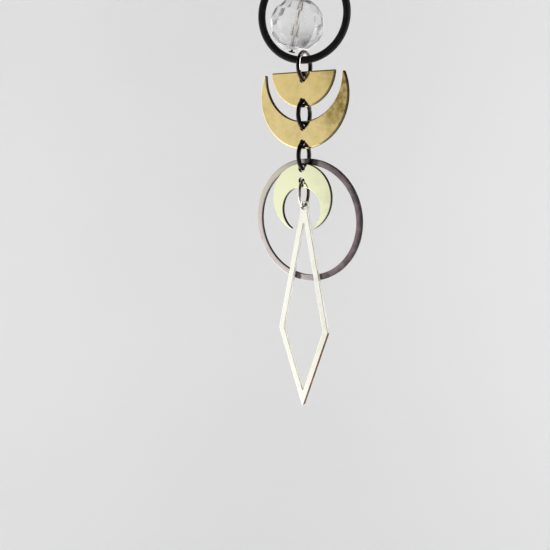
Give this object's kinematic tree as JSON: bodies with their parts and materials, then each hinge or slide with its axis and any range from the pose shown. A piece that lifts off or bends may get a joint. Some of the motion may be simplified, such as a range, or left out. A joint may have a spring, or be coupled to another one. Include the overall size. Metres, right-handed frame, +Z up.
{
  "type": "rearview mirror hanging charm",
  "caption": "Hanging charm for a car's rear-view mirror: a cut glass bead in a black ring, then brass moons, a gunmetal ring and a long open kite, linked by jump rings.",
  "frame": {"origin": "inner top of the hanging jump ring's bore, where a hook or cord holds the charm", "axes": "+Z up, the charm hangs down along -Z; the flat faces of the plates look towards -Y"},
  "size_m": [0.0303, 0.0133, 0.1119],
  "materials": {
    "brass": "polished",
    "pale_brass": "polished",
    "pin_brass": "drawn wire, polished",
    "black_nickel": "black nickel plate",
    "gunmetal": "gunmetal plate, polished",
    "black_coat": "satin black coat",
    "clear_glass": "cut and polished"
  },
  "bodies": {
    "root": {"hanging_jump_ring": "black_nickel", "black_ring": "black_coat", "crystal_bead": "clear_glass", "bead_head_pin": "pin_brass", "upper_jump_ring": "black_nickel", "half_moon_plate": "brass", "middle_jump_ring": "black_nickel", "large_crescent_plate": "brass", "lower_jump_ring": "black_nickel", "gunmetal_ring": "gunmetal", "small_crescent_plate": "pale_brass", "bottom_jump_ring": "black_nickel", "kite_frame": "pale_brass"}
  },
  "joints": []
}
